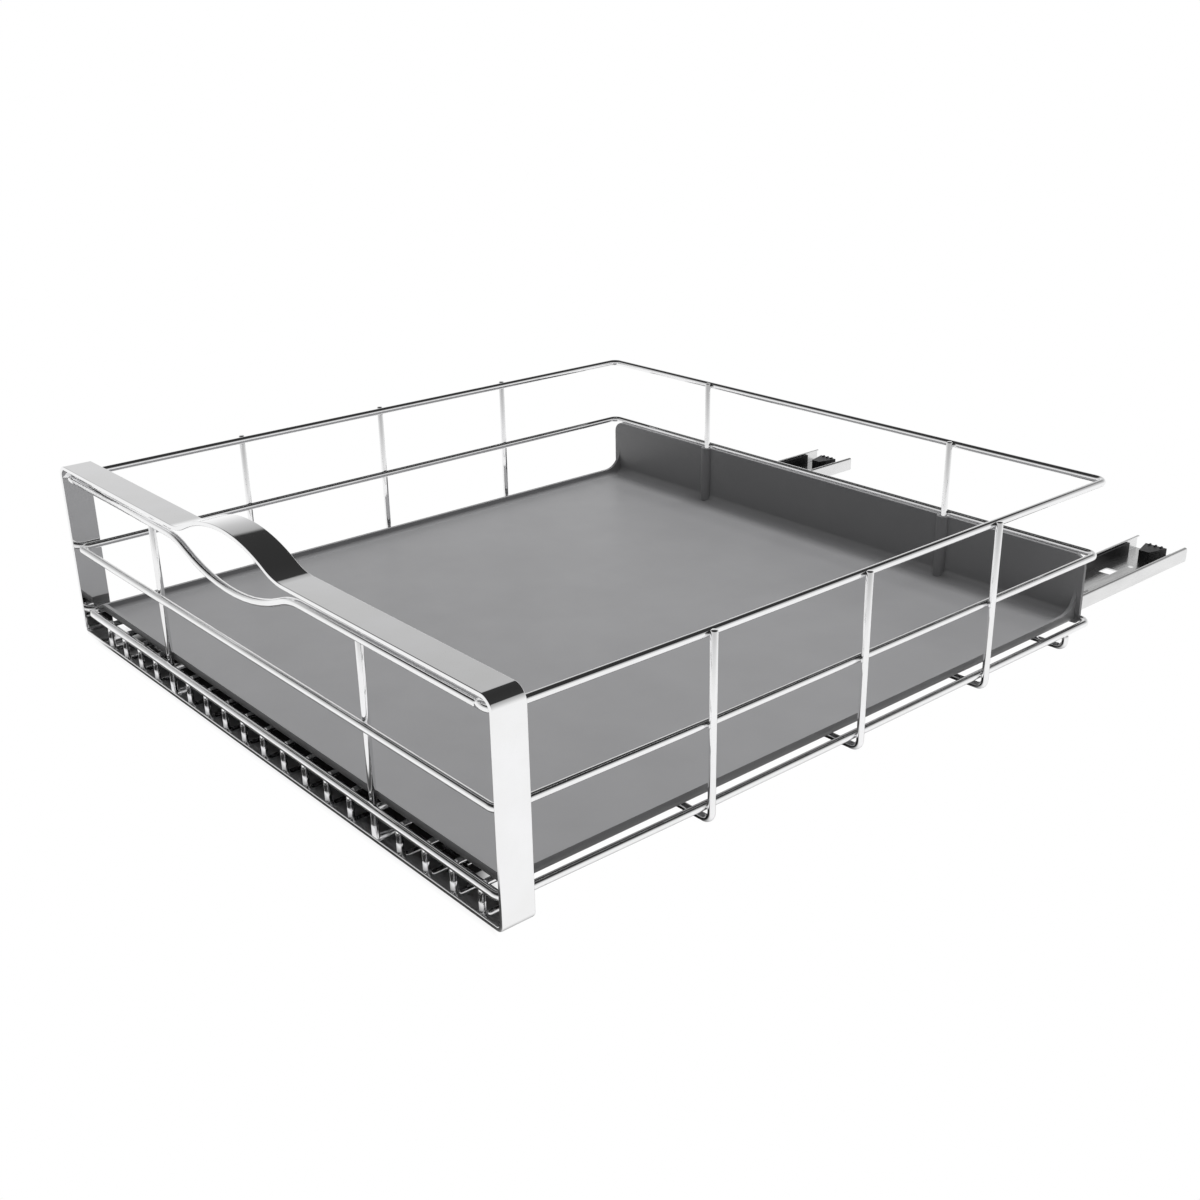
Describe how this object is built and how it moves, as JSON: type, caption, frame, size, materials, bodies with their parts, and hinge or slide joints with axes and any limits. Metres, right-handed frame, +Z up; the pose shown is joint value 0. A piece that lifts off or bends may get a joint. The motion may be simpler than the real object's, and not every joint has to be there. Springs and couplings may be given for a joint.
{
  "type": "pull out cabinet basket",
  "caption": "Chromed wire basket with a flat arched front frame and a moulded liner, on ball slides that lie on a cabinet floor.",
  "frame": {"origin": "on the cabinet floor, midway across the basket and midway from the front frame to the rear of the slides, with the basket partly pulled out", "axes": "+X to the right seen from the front, +Y towards the back of the cabinet, +Z up"},
  "size_m": [0.5124, 0.742, 0.1547],
  "materials": {
    "frame_chrome": "bright polished chrome plate",
    "wire_chrome": "bright polished chrome plate",
    "liner_rubber": "matte with a fine grain",
    "carrier_steel": "satin",
    "screw_steel": "bright zinc",
    "slide_zinc": "bright zinc plate",
    "bumper_plastic": "matte black",
    "cage_steel": "greased steel",
    "ball_steel": "polished"
  },
  "bodies": {
    "cabinet_slides": {"cabinet_member_left": "slide_zinc", "cabinet_member_right": "slide_zinc", "rear_bumper_left": "bumper_plastic", "rear_bumper_right": "bumper_plastic", "race_strips_left": "bumper_plastic", "race_strips_right": "bumper_plastic"},
    "basket": {"front_frame": "frame_chrome", "top_rail": "wire_chrome", "handle_wire": "wire_chrome", "mid_rail": "wire_chrome", "bottom_rail": "wire_chrome", "cross_hoop_1": "wire_chrome", "cross_hoop_2": "wire_chrome", "cross_hoop_3": "wire_chrome", "rear_cross_wire": "wire_chrome", "long_hoop_left": "wire_chrome", "long_hoop_right": "wire_chrome", "floor_wires": "wire_chrome", "liner": "liner_rubber", "carrier_left": "carrier_steel", "carrier_right": "carrier_steel", "carrier_screws_left": "screw_steel", "carrier_screws_right": "screw_steel", "drawer_member_left": "slide_zinc", "drawer_member_right": "slide_zinc"},
    "middle_left": {"middle_member_left": "slide_zinc"},
    "outer_cage_body_left": {"outer_cage_left": "cage_steel", "outer_balls_left": "ball_steel"},
    "inner_cage_body_left": {"inner_cage_left": "cage_steel", "inner_balls_left": "ball_steel"},
    "middle_right": {"middle_member_right": "slide_zinc"},
    "outer_cage_body_right": {"outer_cage_right": "cage_steel", "outer_balls_right": "ball_steel"},
    "inner_cage_body_right": {"inner_cage_right": "cage_steel", "inner_balls_right": "ball_steel"}
  },
  "joints": [
    {"name": "basket_slide", "type": "slide", "parent": "cabinet_slides", "child": "basket", "axis": [0, -1, 0], "range_m": [-0.218, 0.262]},
    {"name": "middle_left_slide", "type": "slide", "parent": "cabinet_slides", "child": "middle_left", "axis": [0, -1, 0], "range_m": [-0.109, 0.131]},
    {"name": "outer_cage_left_roll", "type": "slide", "parent": "cabinet_slides", "child": "outer_cage_body_left", "axis": [0, -1, 0], "range_m": [-0.0545, 0.0655]},
    {"name": "inner_cage_left_roll", "type": "slide", "parent": "cabinet_slides", "child": "inner_cage_body_left", "axis": [0, -1, 0], "range_m": [-0.1635, 0.1965]},
    {"name": "middle_right_slide", "type": "slide", "parent": "cabinet_slides", "child": "middle_right", "axis": [0, -1, 0], "range_m": [-0.109, 0.131]},
    {"name": "outer_cage_right_roll", "type": "slide", "parent": "cabinet_slides", "child": "outer_cage_body_right", "axis": [0, -1, 0], "range_m": [-0.0545, 0.0655]},
    {"name": "inner_cage_right_roll", "type": "slide", "parent": "cabinet_slides", "child": "inner_cage_body_right", "axis": [0, -1, 0], "range_m": [-0.1635, 0.1965]}
  ],
  "couplings": [
    {"joint": "middle_left_slide", "follows": "basket_slide", "ratio": 0.5},
    {"joint": "outer_cage_left_roll", "follows": "basket_slide", "ratio": 0.25},
    {"joint": "inner_cage_left_roll", "follows": "basket_slide", "ratio": 0.75},
    {"joint": "middle_right_slide", "follows": "basket_slide", "ratio": 0.5},
    {"joint": "outer_cage_right_roll", "follows": "basket_slide", "ratio": 0.25},
    {"joint": "inner_cage_right_roll", "follows": "basket_slide", "ratio": 0.75}
  ]
}
